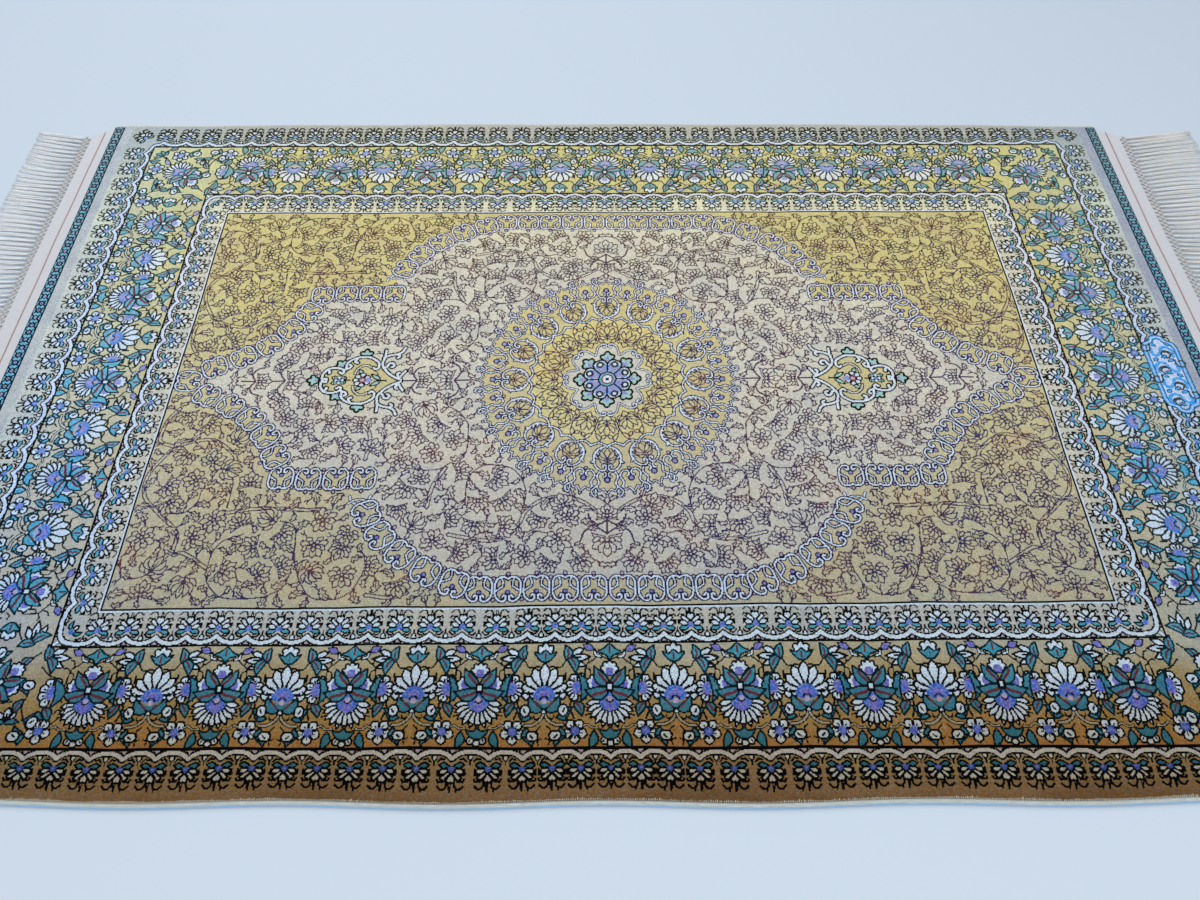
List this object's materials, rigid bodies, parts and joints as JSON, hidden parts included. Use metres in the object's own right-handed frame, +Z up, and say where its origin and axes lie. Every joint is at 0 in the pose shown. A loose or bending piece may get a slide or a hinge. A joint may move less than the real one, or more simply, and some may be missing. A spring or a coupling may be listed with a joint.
{
  "type": "persian rug",
  "caption": "Flat hand-knotted silk rug with a medallion field, palmette border, sprig guards, flat-woven ends, overcast edge cords and knotted fringes.",
  "frame": {"origin": "middle of the rug's whole footprint, on the floor", "axes": "+X along the rug's length towards the longer fringe, +Y across the rug, +Z up out of the pile"},
  "size_m": [1.785, 1.0098, 0.0046],
  "materials": {
    "silk_pile": "cut silk pile in gold, cream, teal, lilac and white",
    "silk_edge_cord": "overcast pale blue-white silk",
    "silk_fringe": "loose off-white silk warps and flat weave"
  },
  "bodies": {
    "root": {"rug_body": "silk_pile", "edge_cord_near": "silk_edge_cord", "edge_cord_far": "silk_edge_cord", "fringe_left": "silk_fringe", "fringe_right": "silk_fringe"}
  },
  "joints": []
}
